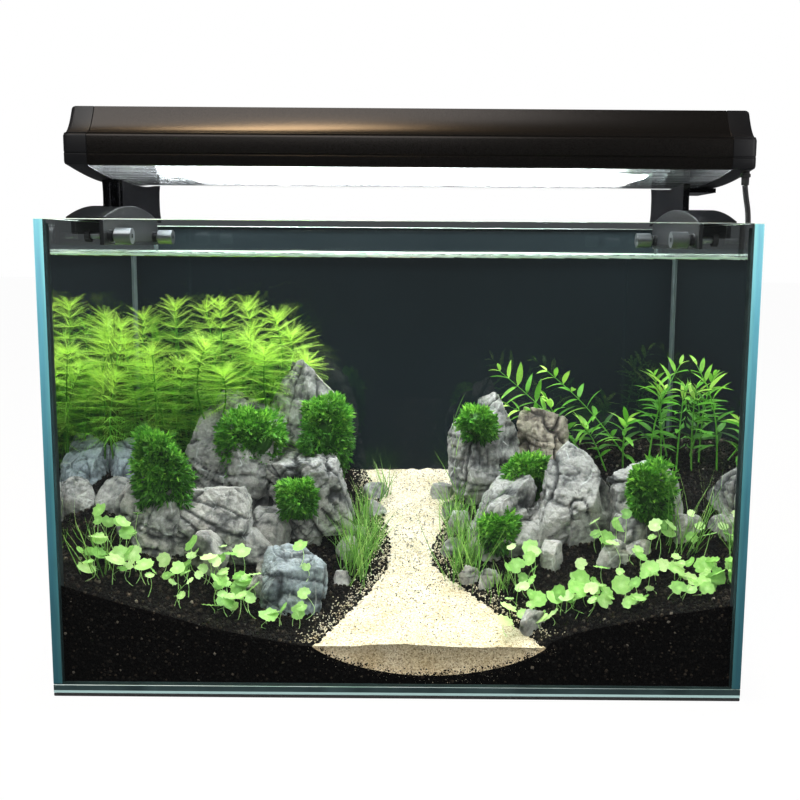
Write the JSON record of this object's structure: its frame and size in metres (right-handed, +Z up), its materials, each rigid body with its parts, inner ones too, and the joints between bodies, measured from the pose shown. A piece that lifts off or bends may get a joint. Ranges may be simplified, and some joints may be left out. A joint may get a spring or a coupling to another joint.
{
  "type": "aquarium with rim-mounted lamp",
  "caption": "Rimless planted glass tank with stones, sand path and plants, and a hood lamp carried by clamp-on brackets on its side panes.",
  "frame": {"origin": "middle of the tank footprint, on the surface the levelling mat rests on", "axes": "+X to the right seen from the front, +Y to the back, +Z up"},
  "size_m": [0.6246, 0.421, 0.518],
  "materials": {
    "foam": "matte closed-cell foam",
    "glass": "clear polished float glass",
    "silicone": "translucent silicone",
    "film": "black background film",
    "soil": "baked granular aquarium soil",
    "sand": "pale river sand",
    "rock": "craggy grey stone with pale veins",
    "brown_rock": "porous brown-grey stone",
    "leaf_bright": "yellow-green feathery leaves",
    "leaf_mid": "mid-green leaves",
    "leaf_pale": "pale green round leaves",
    "moss": "dark green moss",
    "hood": "satin black anodised aluminium",
    "cap": "satin black moulded plastic",
    "reflector": "hammered bright aluminium sheet",
    "board": "white solder mask",
    "led": "lit diode",
    "driver": "powder coated",
    "cover": "clear splash cover",
    "steel": "machine screws",
    "bracket": "glossy black moulding",
    "foot": "fine-textured dark grey moulding",
    "rubber": "soft black rubber",
    "knob": "satin turned metal",
    "cord": "flexible black jacket",
    "plug": "moulded plug",
    "pins": "plated pins"
  },
  "bodies": {
    "tank": {"levelling_mat": "foam", "bottom_pane": "glass", "front_pane": "glass", "back_pane": "glass", "left_pane": "glass", "right_pane": "glass", "silicone_beads": "silicone", "background_film": "film", "soil_bed": "soil", "sand_path": "sand", "rock_back_left": "rock", "rock_pointed": "rock", "rock_triangle": "rock", "rock_crown_left": "rock", "rock_crown_middle": "rock", "rock_ledge": "rock", "rock_low_left": "rock", "rock_cluster_right": "rock", "rock_porous": "brown_rock", "rock_slab_middle": "rock", "rock_slab_right": "rock", "rock_ragged": "rock", "feather_plants": "leaf_bright", "willow_stems": "leaf_mid", "hairgrass_left": "leaf_mid", "hairgrass_right": "leaf_mid", "pennywort_left": "leaf_pale", "pennywort_right": "leaf_pale", "moss_left": "moss", "moss_right": "moss", "power_cord": "cord", "cord_coil": "cord", "cord_tie": "cord", "plug_body": "plug", "plug_pins": "pins"},
    "lamp": {"lamp_housing": "hood", "end_cap_left": "cap", "end_cap_right": "cap", "reflector": "reflector", "led_board": "board", "led_chips": "led", "driver_box": "driver", "splash_cover": "cover", "cap_screws": "steel", "strain_relief": "rubber", "leg_left": "bracket", "leg_right": "bracket", "foot_left": "foot", "foot_right": "foot", "rim_liners": "rubber"},
    "clamp_left_front": {"pad_left_front": "rubber"},
    "screw_left_front": {"knob_left_front": "knob"},
    "clamp_left_back": {"pad_left_back": "rubber"},
    "screw_left_back": {"knob_left_back": "knob"},
    "clamp_right_front": {"pad_right_front": "rubber"},
    "screw_right_front": {"knob_right_front": "knob"},
    "clamp_right_back": {"pad_right_back": "rubber"},
    "screw_right_back": {"knob_right_back": "knob"}
  },
  "joints": [
    {"name": "lamp_lift", "type": "slide", "parent": "tank", "child": "lamp", "axis": [0, 0, 1], "range_m": [0, 0.07], "deforming": ["power_cord"]},
    {"name": "pad_left_front_slide", "type": "slide", "parent": "lamp", "child": "clamp_left_front", "axis": [1, 0, 0], "range_m": [0, 0.004]},
    {"name": "knob_left_front_turn", "type": "hinge", "parent": "clamp_left_front", "child": "screw_left_front", "pos_m": [-0.264, -0.0635, 0.4005], "axis": [1, 0, 0], "range_deg": [0, 1440]},
    {"name": "pad_left_back_slide", "type": "slide", "parent": "lamp", "child": "clamp_left_back", "axis": [1, 0, 0], "range_m": [0, 0.004]},
    {"name": "knob_left_back_turn", "type": "hinge", "parent": "clamp_left_back", "child": "screw_left_back", "pos_m": [-0.264, 0.0715, 0.4005], "axis": [1, 0, 0], "range_deg": [0, 1440]},
    {"name": "pad_right_front_slide", "type": "slide", "parent": "lamp", "child": "clamp_right_front", "axis": [-1, 0, 0], "range_m": [0, 0.004]},
    {"name": "knob_right_front_turn", "type": "hinge", "parent": "clamp_right_front", "child": "screw_right_front", "pos_m": [0.264, -0.0635, 0.4005], "axis": [-1, 0, 0], "range_deg": [0, 1440]},
    {"name": "pad_right_back_slide", "type": "slide", "parent": "lamp", "child": "clamp_right_back", "axis": [-1, 0, 0], "range_m": [0, 0.004]},
    {"name": "knob_right_back_turn", "type": "hinge", "parent": "clamp_right_back", "child": "screw_right_back", "pos_m": [0.264, 0.0715, 0.4005], "axis": [-1, 0, 0], "range_deg": [0, 1440]}
  ],
  "couplings": [
    {"joint": "pad_left_front_slide", "follows": "knob_left_front_turn", "m_per_rad": 0.00015915},
    {"joint": "pad_left_back_slide", "follows": "knob_left_back_turn", "m_per_rad": 0.00015915},
    {"joint": "pad_right_front_slide", "follows": "knob_right_front_turn", "m_per_rad": 0.00015915},
    {"joint": "pad_right_back_slide", "follows": "knob_right_back_turn", "m_per_rad": 0.00015915}
  ]
}
